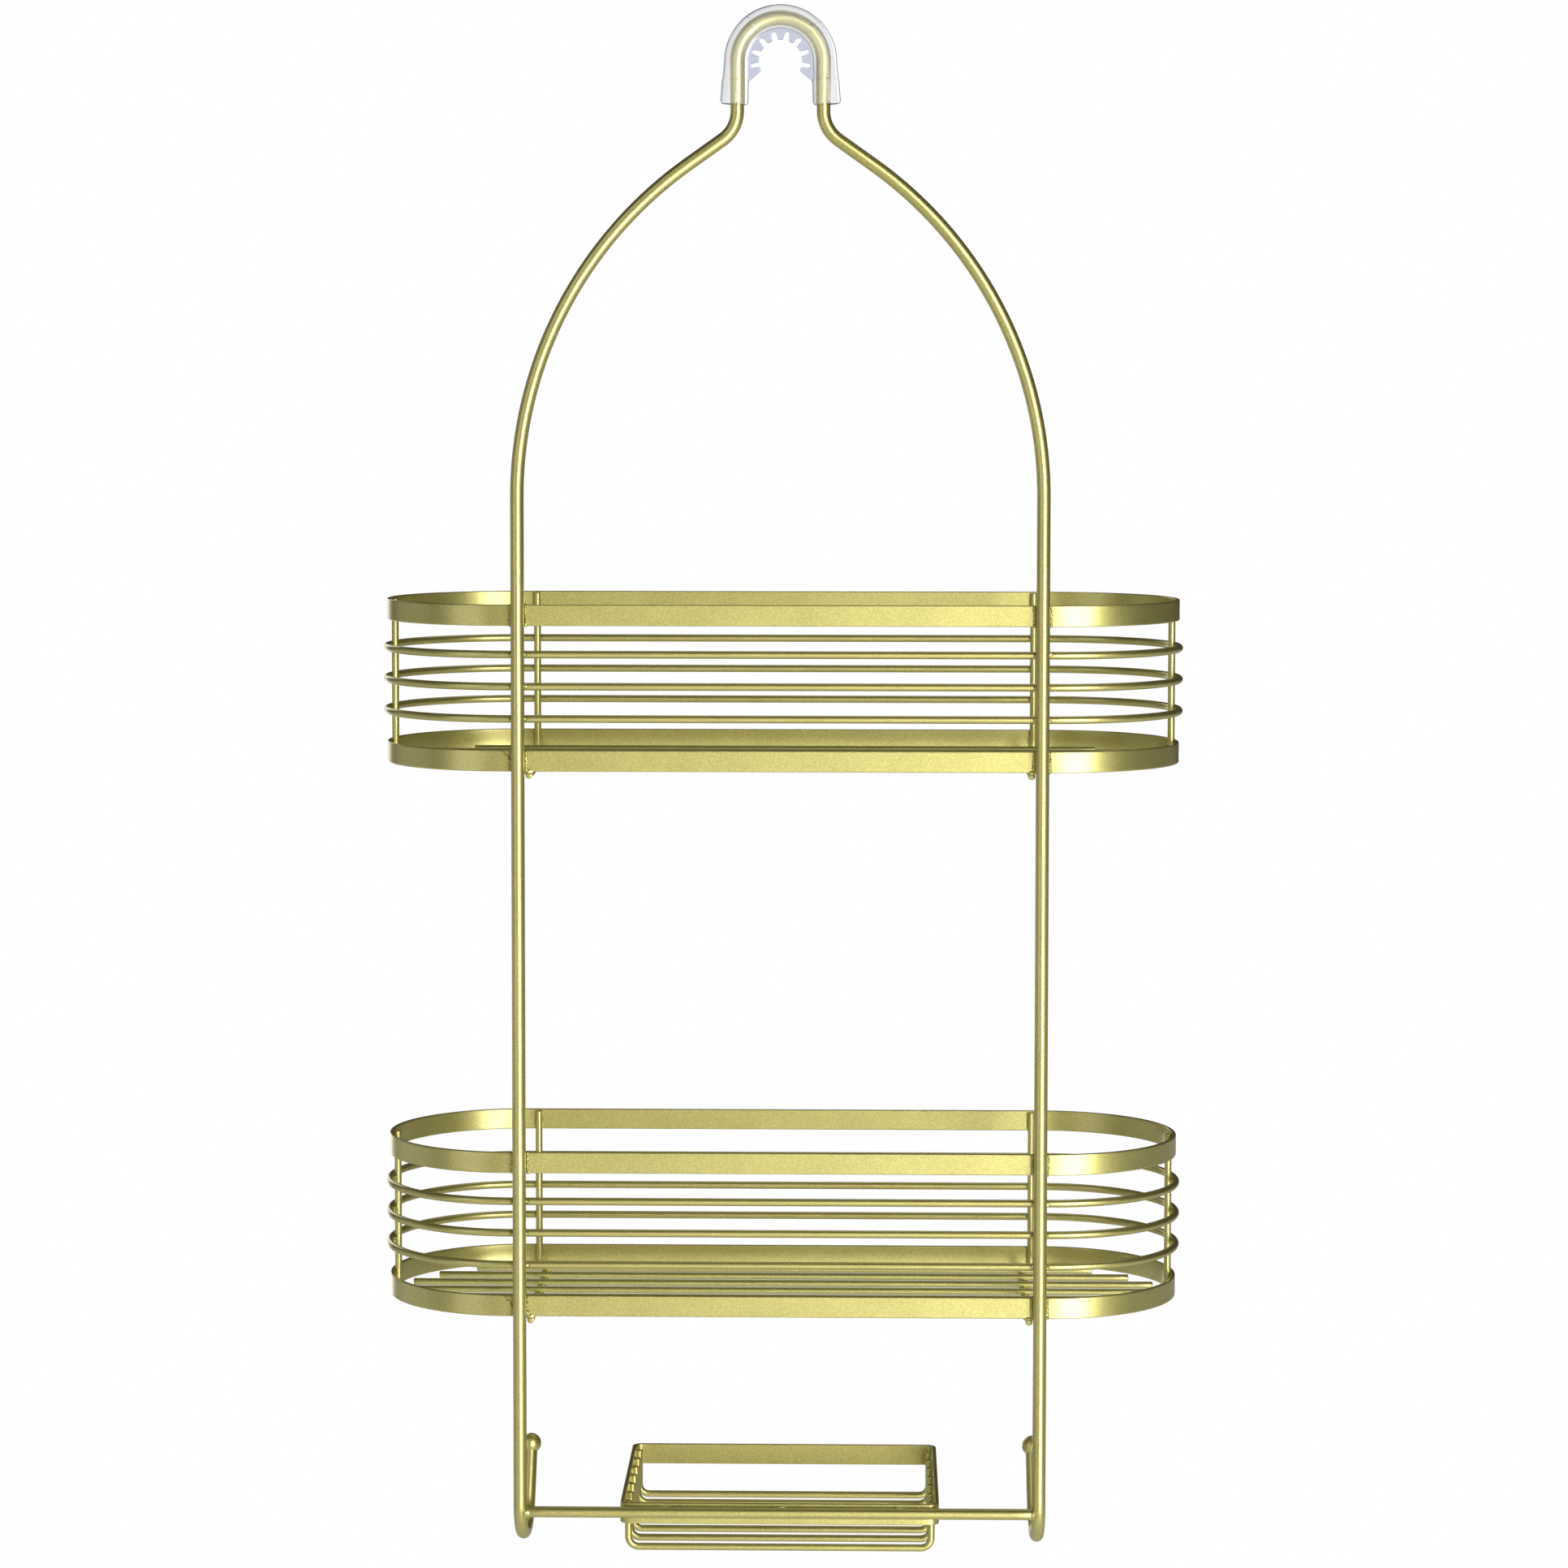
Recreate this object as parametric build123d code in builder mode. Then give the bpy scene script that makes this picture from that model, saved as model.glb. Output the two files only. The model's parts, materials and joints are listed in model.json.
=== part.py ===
from build123d import *
import math
import os

# A hanging shower caddy: one bent frame wire with a hook at the top, two oval wire
# baskets, a crossbar with a soap dish, and two ball-tipped hooks at the bottom.
# Millimetres. +Z up. +Y points from the frame wire out to the baskets.
# The origin is the centre of the pipe that the top hook sits on.

os.makedirs("parts", exist_ok=True)

# ---------------------------------------------------------------- driving sizes
frame_wire_d = 5.2
ring_wire_d = 3.0
light_wire_d = 2.8
crossbar_d = 4.3
band_height = 8.2
band_thick = 1.6
band_edge_round = 0.35

# Frame wire outline
arch_radius = 16.5
neck_end_z = -18.9
neck_bend_radius = 13.2
shoulder_angle = 54.7
shoulder_radius = 155.7
leg_x = 101.0
leg_end_z = -557.1
ball_hook_radius = 16.0
ball_hook_lean = 25.0
ball_hook_toe_in = 1.9
ball_hook_stem = 22.0
ball_d = 8.0
ball_socket_depth = 2.2

# Clear sleeve over the top hook
sleeve_r = 4.95
sleeve_offset = 0.35
sleeve_bore_r = 2.65
sleeve_end_z = -16.3
collar_r = 5.45
collar_offset = 0.8
collar_top_z = -7.0
web_thick = 3.0
web_outer_r = 13.0
tooth_tip_r = 8.2
notch_end_r = 11.6
notch_width = 2.0
notch_count = 8
notch_pitch = 28.3
wedge_tip = (7.4, -3.6)
wedge_foot = (11.9, -7.4)

# Baskets
basket_width = 316.6
basket_depth = 106.9
basket_top_z = -207.5
basket_drop = 213.1
ring_drops = (19.2, 31.6, 44.1)
bottom_band_drop = 56.35
upright_top_gap = 0.5
floor_wire_pitch = 14.2
floor_wire_half = (125.5, 139.5, 148.5, 148.5, 139.5, 125.5)
cross_wire_x = 97.0
cross_wire_inset = 1.6

# Crossbar and soap dish
crossbar_z = -561.5
crossbar_y = 0.3
dish_width = 124.6
dish_depth = 98.4
dish_corner_r = 4.0
dish_top_z = -558.4
dish_wire_count = 7
dish_wire_pitch = 13.75
dish_wire_z = -577.6
dish_wire_bend_r = 4.0
dish_wire_top_gap = 1.0

# Weld metal
weld_half_width = 1.5

# ---------------------------------------------------------------- derived sizes
frame_wire_r = frame_wire_d / 2
ring_wire_r = ring_wire_d / 2
light_wire_r = light_wire_d / 2
crossbar_r = crossbar_d / 2
ball_r = ball_d / 2

basket_near_y = frame_wire_r
basket_mid_y = basket_near_y + basket_depth / 2
basket_half = basket_width / 2
ring_end_r = basket_depth / 2
band_set_back = ring_wire_d - band_thick
bottom_band_low = bottom_band_drop + band_height
dish_near_y = crossbar_y + crossbar_r
dish_mid_y = dish_near_y + dish_depth / 2

SIDES = (("left", -1), ("right", 1))
LEVELS = (("upper", basket_top_z), ("lower", basket_top_z - basket_drop))


def save(solid, name):
    """Label one sub-part and write its STEP file."""
    solid.label = name
    export_step(solid, "parts/" + name + ".step")


# ---------------------------------------------------------------- frame wire
def shoulder_points(side):
    """Corner and mid-arc points of one half of the frame, from the arch to the leg."""
    turn = math.radians(shoulder_angle)
    half = turn / 2
    bend_x = arch_radius + neck_bend_radius
    arc_x = leg_x - shoulder_radius

    def on_neck_bend(angle):
        return (bend_x - neck_bend_radius * math.cos(angle),
                neck_end_z - neck_bend_radius * math.sin(angle))

    bend_end = on_neck_bend(turn)
    arc_start_x = arc_x + shoulder_radius * math.cos(turn)
    arc_start_z = bend_end[1] - (arc_start_x - bend_end[0]) / math.tan(turn)
    leg_top_z = arc_start_z - shoulder_radius * math.sin(turn)

    def on_shoulder(angle):
        return (arc_x + shoulder_radius * math.cos(angle),
                leg_top_z + shoulder_radius * math.sin(angle))

    flat = [(arch_radius, 0), (arch_radius, neck_end_z), on_neck_bend(half), bend_end,
            on_shoulder(turn), on_shoulder(half), on_shoulder(0)]
    return [Vector(side * x, 0, z) for x, z in flat]


def ball_hook_point(side, angle):
    """A point on the half-round bend under one leg."""
    toe = math.radians(ball_hook_toe_in)
    out = ball_hook_radius * (1 - math.cos(angle))
    down = ball_hook_radius * math.sin(angle)
    return Vector(side * (leg_x - out * math.sin(toe)), out * math.cos(toe),
                  leg_end_z - down)


def stem_direction(side):
    """The way the free end of one ball hook points."""
    toe = math.radians(ball_hook_toe_in)
    lean = math.radians(ball_hook_lean)
    return Vector(-side * math.sin(lean) * math.sin(toe), math.sin(lean) * math.cos(toe),
                  math.cos(lean))


hook_turn = math.pi - math.radians(ball_hook_lean)


def ball_centre(side):
    return ball_hook_point(side, hook_turn) + stem_direction(side) * ball_hook_stem


def half_frame_edges(side):
    """The wire's centreline from the top of the arch's side down to the ball."""
    neck, neck_end, bend_mid, bend_end, arc_start, arc_mid, leg_top = shoulder_points(side)
    leg_end = Vector(side * leg_x, 0, leg_end_z)
    hook_mid = ball_hook_point(side, hook_turn / 2)
    hook_end = ball_hook_point(side, hook_turn)
    wire_end = ball_centre(side) - stem_direction(side) * (ball_r - ball_socket_depth)
    return [
        Edge.make_line(neck, neck_end),
        Edge.make_three_point_arc(neck_end, bend_mid, bend_end),
        Edge.make_line(bend_end, arc_start),
        Edge.make_three_point_arc(arc_start, arc_mid, leg_top),
        Edge.make_line(leg_top, leg_end),
        Edge.make_three_point_arc(leg_end, hook_mid, hook_end),
        Edge.make_line(hook_end, wire_end),
    ]


with BuildLine() as frame_path:
    add(half_frame_edges(-1))
    ThreePointArc((-arch_radius, 0, 0), (0, 0, arch_radius), (arch_radius, 0, 0))
    add(half_frame_edges(1))

frame_wire_edge = Wire(frame_path.edges())
with BuildSketch(Plane(origin=frame_wire_edge @ 0, z_dir=frame_wire_edge % 0)) as frame_section:
    Circle(frame_wire_r)
with BuildPart() as frame_wire:
    sweep(sections=frame_section.sketch, path=frame_wire_edge)
save(frame_wire.part, "frame_wire")

for side_name, side in SIDES:
    with BuildPart() as hook_ball:
        with Locations(ball_centre(side)):
            Sphere(ball_r)
        add(frame_wire.part, mode=Mode.SUBTRACT)
    save(hook_ball.part, "hook_ball_" + side_name)


# ---------------------------------------------------------------- clear hook sleeve
def hook_run(radius, low_z):
    """An upside-down U in the frame's plane: two straight ends and the arch."""
    low_left = Vector(-radius, 0, low_z)
    low_right = Vector(radius, 0, low_z)
    left = Vector(-radius, 0, 0)
    right = Vector(radius, 0, 0)
    return Wire([Edge.make_line(low_left, left),
                 Edge.make_three_point_arc(left, Vector(0, 0, radius), right),
                 Edge.make_line(right, low_right)])


tube_radius = arch_radius + sleeve_offset
tube_run = hook_run(tube_radius, sleeve_end_z)
with BuildSketch(Plane(origin=tube_run @ 0, z_dir=tube_run % 0)) as tube_section:
    Circle(sleeve_r)

bore_run = hook_run(arch_radius, neck_end_z)
with BuildSketch(Plane(origin=bore_run @ 0, z_dir=bore_run % 0)) as bore_section:
    Circle(sleeve_bore_r)
with BuildPart() as sleeve_bore:
    sweep(sections=bore_section.sketch, path=bore_run)

# The toothed web fills the inside of the arch down to the two end wedges.
with BuildSketch(Plane.XZ) as web_profile:
    Circle(web_outer_r)
    Circle(tooth_tip_r, mode=Mode.SUBTRACT)
    with BuildLine():
        Polyline(wedge_tip, wedge_foot, (web_outer_r + 1, wedge_foot[1]),
                 (web_outer_r + 1, -web_outer_r - 1), (-web_outer_r - 1, -web_outer_r - 1),
                 (-web_outer_r - 1, wedge_foot[1]), (-wedge_foot[0], wedge_foot[1]),
                 (-wedge_tip[0], wedge_tip[1]), close=True)
    make_face(mode=Mode.SUBTRACT)
    first_notch = 90 - notch_pitch * (notch_count - 1) / 2
    for number in range(notch_count):
        notch_angle = first_notch + number * notch_pitch
        with PolarLocations(0, 1, start_angle=notch_angle):
            with Locations((notch_end_r / 2, 0)):
                SlotOverall(notch_end_r, notch_width, mode=Mode.SUBTRACT)

collar_centre_x = tube_radius + collar_offset
with BuildPart() as hook_sleeve:
    sweep(sections=tube_section.sketch, path=tube_run)
    for side_name, side in SIDES:
        with Locations((side * collar_centre_x, 0, (collar_top_z + sleeve_end_z) / 2)):
            Cylinder(collar_r, collar_top_z - sleeve_end_z)
    extrude(web_profile.sketch, amount=web_thick / 2, both=True)
    add(sleeve_bore.part, mode=Mode.SUBTRACT)
save(hook_sleeve.part, "hook_sleeve")


# ---------------------------------------------------------------- baskets
def oval_sketch(plane, half_length, end_radius):
    """A flat oval face: two half circles joined by straight sides."""
    with BuildSketch(plane) as oval:
        SlotOverall(2 * half_length, 2 * end_radius)
    return oval.sketch


def oval_band(top_z):
    """One flat band bent into an oval hoop, its edges slightly rounded."""
    outer_half = basket_half - band_set_back
    outer_r = ring_end_r - band_set_back
    plane = Plane(origin=(0, basket_mid_y, top_z - band_height))
    with BuildPart() as band:
        extrude(oval_sketch(plane, outer_half, outer_r), amount=band_height)
        extrude(oval_sketch(plane, outer_half - band_thick, outer_r - band_thick),
                amount=band_height, mode=Mode.SUBTRACT)
        rims = band.edges().filter_by(lambda e: abs(e.center().Z - top_z) < 0.01
                                      or abs(e.center().Z - top_z + band_height) < 0.01)
        fillet(rims, band_edge_round)
    return band.part


def oval_ring(z):
    """One round wire bent into an oval ring."""
    half = basket_half - ring_wire_r
    radius = ring_end_r - ring_wire_r
    straight = half - radius
    near_y = basket_mid_y - radius
    far_y = basket_mid_y + radius
    with BuildLine() as ring_line:
        Line((-straight, near_y, z), (straight, near_y, z))
        ThreePointArc((straight, near_y, z), (half, basket_mid_y, z), (straight, far_y, z))
        Line((straight, far_y, z), (-straight, far_y, z))
        ThreePointArc((-straight, far_y, z), (-half, basket_mid_y, z), (-straight, near_y, z))
    with BuildSketch(Plane(origin=(-straight, near_y, z), z_dir=(1, 0, 0))) as section:
        Circle(ring_wire_r)
    with BuildPart() as ring:
        sweep(sections=section.sketch, path=ring_line.line)
    return ring.part


def straight_wire(start, end, radius):
    """A straight round wire between two points."""
    start = Vector(*start)
    end = Vector(*end)
    with BuildSketch(Plane(origin=start, z_dir=end - start)) as section:
        Circle(radius)
    with BuildPart() as wire:
        extrude(section.sketch, amount=(end - start).length)
    return wire.part


upright_end_x = basket_half - ring_wire_d - light_wire_r
upright_far_y = basket_near_y + basket_depth - ring_wire_d - light_wire_r

for level, top_z in LEVELS:
    low_z = top_z - bottom_band_low
    save(oval_band(top_z), level + "_top_band")
    save(oval_band(top_z - bottom_band_drop), level + "_bottom_band")
    for number, drop in enumerate(ring_drops, start=1):
        save(oval_ring(top_z - drop), level + "_ring_" + str(number))

    for side_name, side in SIDES:
        foot = (side * upright_end_x, basket_mid_y, low_z)
        head = (side * upright_end_x, basket_mid_y, top_z - upright_top_gap)
        save(straight_wire(foot, head, light_wire_r), level + "_end_upright_" + side_name)
        foot = (side * leg_x, upright_far_y, low_z)
        head = (side * leg_x, upright_far_y, top_z - upright_top_gap)
        save(straight_wire(foot, head, light_wire_r), level + "_outer_upright_" + side_name)

        near = (side * cross_wire_x, basket_near_y + cross_wire_inset, low_z - light_wire_r)
        far = (side * cross_wire_x, basket_near_y + basket_depth - cross_wire_inset,
               low_z - light_wire_r)
        save(straight_wire(near, far, light_wire_r), level + "_cross_wire_" + side_name)

    floor_z = low_z + light_wire_r
    first_y = basket_mid_y - floor_wire_pitch * (len(floor_wire_half) - 1) / 2
    for number, half in enumerate(floor_wire_half, start=1):
        y = first_y + (number - 1) * floor_wire_pitch
        wire = straight_wire((-half, y, floor_z), (half, y, floor_z), light_wire_r)
        save(wire, level + "_floor_wire_" + str(number))


# ---------------------------------------------------------------- crossbar
crossbar_half = leg_x - frame_wire_r
with BuildPart() as crossbar:
    add(straight_wire((-crossbar_half, crossbar_y, crossbar_z),
                      (crossbar_half, crossbar_y, crossbar_z), crossbar_r))
    add(frame_wire.part, mode=Mode.SUBTRACT)
save(crossbar.part, "crossbar")


# ---------------------------------------------------------------- soap dish
dish_plane = Plane(origin=(0, dish_mid_y, dish_top_z - band_height))
with BuildSketch(dish_plane) as dish_outline:
    RectangleRounded(dish_width, dish_depth, dish_corner_r)
with BuildSketch(dish_plane) as dish_inside:
    RectangleRounded(dish_width - 2 * band_thick, dish_depth - 2 * band_thick,
                     dish_corner_r - band_thick)
with BuildPart() as soap_dish_band:
    extrude(dish_outline.sketch, amount=band_height)
    extrude(dish_inside.sketch, amount=band_height, mode=Mode.SUBTRACT)
    dish_rims = soap_dish_band.edges().filter_by(
        lambda e: abs(e.center().Z - dish_top_z) < 0.01
        or abs(e.center().Z - dish_top_z + band_height) < 0.01)
    fillet(dish_rims, band_edge_round)
save(soap_dish_band.part, "soap_dish_band")


def dish_wire(y):
    """One U-shaped floor wire, its two ends rising inside the side bands."""
    riser_x = dish_width / 2 - band_thick - light_wire_r
    top = dish_top_z - dish_wire_top_gap
    inner_x = riser_x - dish_wire_bend_r
    bend_z = dish_wire_z + dish_wire_bend_r
    corner = dish_wire_bend_r * (1 - math.sin(math.pi / 4))
    with BuildLine() as run:
        Line((-riser_x, y, top), (-riser_x, y, bend_z))
        ThreePointArc((-riser_x, y, bend_z), (-riser_x + corner, y, dish_wire_z + corner),
                      (-inner_x, y, dish_wire_z))
        Line((-inner_x, y, dish_wire_z), (inner_x, y, dish_wire_z))
        ThreePointArc((inner_x, y, dish_wire_z), (riser_x - corner, y, dish_wire_z + corner),
                      (riser_x, y, bend_z))
        Line((riser_x, y, bend_z), (riser_x, y, top))
    with BuildSketch(Plane(origin=(-riser_x, y, top), z_dir=(0, 0, -1))) as section:
        Circle(light_wire_r)
    with BuildPart() as wire:
        sweep(sections=section.sketch, path=run.line)
    return wire.part


first_dish_y = dish_mid_y - dish_wire_pitch * (dish_wire_count - 1) / 2
for number in range(1, dish_wire_count + 1):
    save(dish_wire(first_dish_y + (number - 1) * dish_wire_pitch),
         "soap_dish_wire_" + str(number))


# ---------------------------------------------------------------- welds to the legs
def leg_weld(side, top_z):
    """Weld metal that fills the gap between one leg and one band."""
    band_face_y = basket_near_y + band_set_back
    with BuildPart() as weld:
        with Locations((side * leg_x, band_face_y / 2, top_z - band_height / 2)):
            Box(2 * weld_half_width, band_face_y, band_height - 2 * band_edge_round)
        add(frame_wire.part, mode=Mode.SUBTRACT)
    return weld.part


for level, top_z in LEVELS:
    for place, band_top in (("top", top_z), ("bottom", top_z - bottom_band_drop)):
        welds = Compound(children=[s for _, side in SIDES for s in leg_weld(side, band_top).solids()])
        save(welds, level + "_" + place + "_band_welds")
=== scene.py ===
import json
import math
import random

import bmesh
import bpy
from mathutils import Matrix, Vector, noise


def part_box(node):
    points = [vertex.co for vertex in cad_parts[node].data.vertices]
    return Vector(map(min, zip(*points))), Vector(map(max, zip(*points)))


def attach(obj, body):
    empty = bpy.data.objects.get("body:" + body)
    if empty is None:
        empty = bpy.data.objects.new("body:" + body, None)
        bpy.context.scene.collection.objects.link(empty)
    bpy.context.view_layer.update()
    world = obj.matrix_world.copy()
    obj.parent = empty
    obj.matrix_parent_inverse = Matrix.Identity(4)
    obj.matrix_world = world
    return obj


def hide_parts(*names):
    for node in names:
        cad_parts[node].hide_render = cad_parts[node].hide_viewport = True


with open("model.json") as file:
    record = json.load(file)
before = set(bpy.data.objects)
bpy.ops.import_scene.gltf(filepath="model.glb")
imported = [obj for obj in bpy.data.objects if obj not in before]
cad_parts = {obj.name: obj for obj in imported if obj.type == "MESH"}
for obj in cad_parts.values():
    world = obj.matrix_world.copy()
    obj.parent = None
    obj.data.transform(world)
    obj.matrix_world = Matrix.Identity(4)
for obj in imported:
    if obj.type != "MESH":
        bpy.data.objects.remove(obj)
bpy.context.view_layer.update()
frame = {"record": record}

# Metres. +X right, +Y from the frame wire out to the baskets, +Z up. The origin is the
# centre of the top hook's arch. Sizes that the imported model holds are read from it.

random.seed(11)
AROUND = 20
MM = 0.001


# ------------------------------------------------------------------ sizes from the frame
def low(node):
    return Vector(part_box(node)[0])


def high(node):
    return Vector(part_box(node)[1])


def middle(node):
    return (low(node) + high(node)) / 2


def size(node):
    return high(node) - low(node)


RECORD = frame["record"]
FRAME_R = 2.6 * MM
ARCH_RADIUS = high("frame_wire").z - FRAME_R
NECK_END_Z = -18.9 * MM
NECK_BEND_R = 13.2 * MM
SHOULDER_ANGLE = math.radians(54.7)
SHOULDER_R = 155.7 * MM
LEG_X = high("frame_wire").x - FRAME_R
FOOT_HOOK_R = 16 * MM
FOOT_HOOK_LEAN = math.radians(25)
FOOT_HOOK_TOE = math.radians(1.9)
LEG_END_Z = low("frame_wire").z + FOOT_HOOK_R + FRAME_R
BAND_THICK = 1.6 * MM
BAND_EDGE = 0.38 * MM
WIRE_R = size("upper_floor_wire_1").y / 2
RING_R = size("upper_ring_1").z / 2
CROSSBAR_R = size("crossbar").y / 2
SIDES = (("left", -1), ("right", 1))
LEVELS = ("upper", "lower")


# ------------------------------------------------------------------ mesh helpers
def make_object(name, mesh):
    obj = bpy.data.objects.new(name, mesh)
    bpy.context.scene.collection.objects.link(obj)
    return obj


def finish_piece(obj, material, slot, *nodes):
    """Materials, smooth shading, and the CAD nodes that this piece stands for."""
    obj.data.materials.clear()
    obj.data.materials.append(material)
    obj.data.polygons.foreach_set("use_smooth", [True] * len(obj.data.polygons))
    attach(obj, "root")
    if nodes:
        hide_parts(*nodes)
    return obj


def path_frames(points, closed):
    """A tangent, normal and binormal at each point, turning as little as possible."""
    count = len(points)
    tangents = []
    for i in range(count):
        if closed:
            ahead, behind = points[(i + 1) % count], points[i - 1]
        else:
            ahead, behind = points[min(i + 1, count - 1)], points[max(i - 1, 0)]
        tangents.append((ahead - behind).normalized())
    side = Vector((0, 0, 1))
    if abs(tangents[0].dot(side)) > 0.9:
        side = Vector((0, 1, 0))
    normal = (side - tangents[0] * side.dot(tangents[0])).normalized()
    frames = []
    for tangent in tangents:
        normal = (normal - tangent * normal.dot(tangent)).normalized()
        frames.append((tangent, normal, tangent.cross(normal)))
    return frames


def sweep_rings(bm, points, closed, outline):
    """Rings of vertices along a path. outline(i) gives (normal, binormal) offsets."""
    frames = path_frames(points, closed)
    rings = []
    for i, point in enumerate(points):
        _, normal, binormal = frames[i]
        rings.append([bm.verts.new(point + normal * u + binormal * v) for u, v in outline(i)])
    pairs = list(zip(rings, rings[1:]))
    if closed:
        pairs.append((rings[-1], rings[0]))
    for a, b in pairs:
        count = len(a)
        for k in range(count):
            bm.faces.new((a[k], a[(k + 1) % count], b[(k + 1) % count], b[k]))
    if not closed:
        bm.faces.new(rings[0][::-1])
        bm.faces.new(rings[-1])
    return rings


def circle_outline(radius, around=AROUND):
    return [(radius * math.cos(2 * math.pi * k / around),
             radius * math.sin(2 * math.pi * k / around)) for k in range(around)]


def with_cut_ends(points, radius, chamfer):
    """Path points and radii with a small worn chamfer at both ends of a cut wire."""
    first = (points[1] - points[0]).normalized()
    last = (points[-2] - points[-1]).normalized()
    steps = ((0.0, 1 - 1.0 * chamfer / radius), (0.12, 1 - 0.45 * chamfer / radius),
             (0.5, 1 - 0.12 * chamfer / radius), (1.0, 1.0))
    head = [(points[0] + first * chamfer * s, radius * r) for s, r in steps]
    tail = [(points[-1] + last * chamfer * s, radius * r) for s, r in steps[::-1]]
    body = [(p, radius) for p in points[1:-1]]
    joined = head + body + tail
    return [p for p, _ in joined], [r for _, r in joined]


def wire(name, points, radius, material, *nodes, closed=False, chamfer=0.35 * MM, around=AROUND):
    """A round wire swept along points, its cut ends chamfered."""
    bm = bmesh.new()
    if closed:
        radii = [radius] * len(points)
    else:
        points, radii = with_cut_ends(points, radius, chamfer)
    sweep_rings(bm, points, closed, lambda i: circle_outline(radii[i], around))
    bmesh.ops.recalc_face_normals(bm, faces=bm.faces)
    mesh = bpy.data.meshes.new(name)
    bm.to_mesh(mesh)
    bm.free()
    return finish_piece(make_object(name, mesh), material, "gold_paint", *nodes)


def strip_outline(thick, height, edge):
    """A flat strip's section with rounded edges, as (up, across) offsets in order."""
    points = []
    flat = height / 2 - edge
    for across, up, start in ((1, 1, 0), (-1, 1, 90), (-1, -1, 180), (1, -1, 270)):
        corner = []
        for step in range(6):
            angle = math.radians(start + step * 18)
            corner.append((flat * up + edge * math.sin(angle),
                           (thick / 2 - edge) * across + edge * math.cos(angle)))
        hold = ((flat - edge) * up, thick / 2 * across)
        points += [hold] + corner if start in (0, 180) else corner + [hold]
    return points


def strip(name, points, thick, height, edge, material, *nodes):
    """A flat strip on edge, bent round a closed path."""
    bm = bmesh.new()
    outline = strip_outline(thick, height, edge)
    sweep_rings(bm, points, True, lambda i: outline)
    bmesh.ops.recalc_face_normals(bm, faces=bm.faces)
    mesh = bpy.data.meshes.new(name)
    bm.to_mesh(mesh)
    bm.free()
    return finish_piece(make_object(name, mesh), material, "gold_paint", *nodes)


def arc(centre, start, axis, angle, steps):
    """Points from start turned about centre, the first one left out."""
    arm = start - centre
    return [centre + Matrix.Rotation(angle * k / steps, 3, axis) @ arm
            for k in range(1, steps + 1)]


def line(start, end, steps):
    """Evenly spaced points from start to end, the first one left out."""
    return [start.lerp(end, k / steps) for k in range(1, steps + 1)]


def oval(half, radius, mid_y, z, straight_steps=60, end_steps=48):
    """A flat oval loop: two straight sides and two half circles."""
    straight = half - radius
    up = Vector((0, 0, 1))
    start = Vector((-straight, mid_y - radius, z))
    corner = Vector((straight, mid_y - radius, z))
    points = [start] + line(start, corner, straight_steps)
    points += arc(Vector((straight, mid_y, z)), corner, up, math.pi, end_steps)
    far = points[-1]
    far_end = Vector((-straight, mid_y + radius, z))
    points += line(far, far_end, straight_steps)
    points += arc(Vector((-straight, mid_y, z)), far_end, up, math.pi, end_steps)[:-1]
    return points


# ------------------------------------------------------------------ materials
TUBE_FROM_R = 12.6 * MM
WEB_FROM_R = 12.1 * MM


def node_tree(name):
    material = bpy.data.materials.new(name)
    material.use_nodes = True
    tree = material.node_tree
    tree.nodes.clear()
    output = tree.nodes.new("ShaderNodeOutputMaterial")
    return material, tree, output


def add_noise(tree, coordinates, scale, detail, roughness=0.5):
    node = tree.nodes.new("ShaderNodeTexNoise")
    node.inputs["Scale"].default_value = scale
    node.inputs["Detail"].default_value = detail
    node.inputs["Roughness"].default_value = roughness
    tree.links.new(coordinates, node.inputs["Vector"])
    return node


def add_ramp(tree, value, stops):
    node = tree.nodes.new("ShaderNodeValToRGB")
    ramp = node.color_ramp
    while len(ramp.elements) < len(stops):
        ramp.elements.new(0.5)
    for element, (position, colour) in zip(ramp.elements, stops):
        element.position = position
        element.color = (*colour, 1)
    tree.links.new(value, node.inputs["Fac"])
    return node


def gold_paint():
    """Metallic champagne-gold paint: fine grain and slow clouds in the pigment, under a clear coat."""
    material, tree, output = node_tree("gold_paint")
    links = tree.links
    coordinates = tree.nodes.new("ShaderNodeTexCoord").outputs["Object"]

    grain = add_noise(tree, coordinates, 1900, 3, 0.6)
    cloud = add_noise(tree, coordinates, 45, 3)

    pigment = add_ramp(tree, grain.outputs["Fac"], (
        (0.30, (0.47, 0.420, 0.118)),
        (0.50, (0.57, 0.520, 0.158)),
        (0.70, (0.69, 0.637, 0.215)),
    ))
    tint = add_ramp(tree, cloud.outputs["Fac"], (
        (0.35, (0.93, 0.92, 0.90)),
        (0.65, (1.0, 1.0, 1.0)),
    ))
    colour = tree.nodes.new("ShaderNodeMix")
    colour.data_type = "RGBA"
    colour.blend_type = "MULTIPLY"
    colour.inputs["Factor"].default_value = 1.0
    links.new(pigment.outputs["Color"], colour.inputs["A"])
    links.new(tint.outputs["Color"], colour.inputs["B"])

    rough = tree.nodes.new("ShaderNodeMapRange")
    rough.inputs["To Min"].default_value = 0.38
    rough.inputs["To Max"].default_value = 0.41
    links.new(grain.outputs["Fac"], rough.inputs["Value"])

    shader = tree.nodes.new("ShaderNodeBsdfPrincipled")
    shader.inputs["Metallic"].default_value = 0.92
    shader.inputs["Specular Tint"].default_value = (0.55, 0.48, 0.20, 1)
    shader.inputs["Coat Weight"].default_value = 1.0
    shader.inputs["Coat IOR"].default_value = 1.7
    shader.inputs["Coat Roughness"].default_value = 0.25
    links.new(colour.outputs["Result"], shader.inputs["Base Color"])
    links.new(rough.outputs["Result"], shader.inputs["Roughness"])
    links.new(shader.outputs["BSDF"], output.inputs["Surface"])
    return material


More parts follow.
